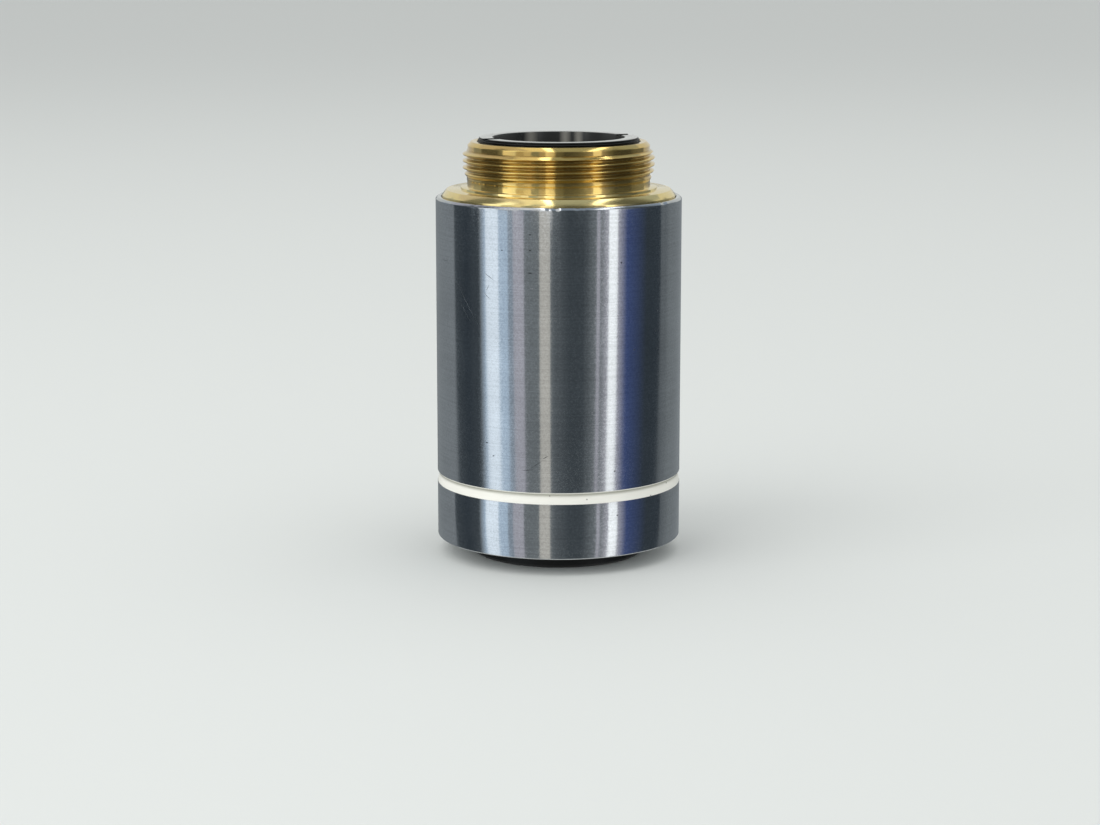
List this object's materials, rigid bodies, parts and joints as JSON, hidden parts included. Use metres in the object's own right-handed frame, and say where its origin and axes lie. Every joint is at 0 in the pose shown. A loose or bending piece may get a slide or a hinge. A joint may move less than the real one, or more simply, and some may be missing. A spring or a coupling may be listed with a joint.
{
  "type": "microscope objective",
  "caption": "Straight-barrelled microscope objective with a brass rear screw thread, a satin metal sleeve with a white enamel ring, and a short black nose over coated lenses.",
  "frame": {"origin": "centre of the nose tip, on the optical axis", "axes": "+Z along the optical axis from the nose to the thread, +Y away from the camera of the picture"},
  "size_m": [0.026, 0.026, 0.0444],
  "materials": {
    "satin_barrel": "finely turned satin bright steel",
    "white_enamel": "off-white enamel filled into a groove",
    "turned_brass": "bright turned brass",
    "black_anodised": "semi-gloss black anodised aluminium",
    "blackened_brass": "chemically blackened brass",
    "coated_glass": "polished glass with an anti-reflection coating"
  },
  "bodies": {
    "root": {"outer_sleeve": "satin_barrel", "colour_band": "white_enamel", "thread_mount": "turned_brass", "tube_lock_ring": "turned_brass", "front_doublet_cell": "turned_brass", "flattener_cell": "turned_brass", "rear_doublet_cell": "turned_brass", "rear_stop_ring": "black_anodised", "nose_cap": "black_anodised", "front_spacer": "black_anodised", "rear_spacer": "black_anodised", "lens_tube": "blackened_brass", "stack_ring": "blackened_brass", "front_lens_retainer": "blackened_brass", "front_doublet_retainer": "blackened_brass", "flattener_retainer": "blackened_brass", "rear_doublet_retainer": "blackened_brass", "aperture_stop": "blackened_brass", "front_lens": "coated_glass", "front_doublet_flint": "coated_glass", "front_doublet_crown": "coated_glass", "flattener_lens": "coated_glass", "rear_doublet_crown": "coated_glass", "rear_doublet_flint": "coated_glass"}
  },
  "joints": []
}
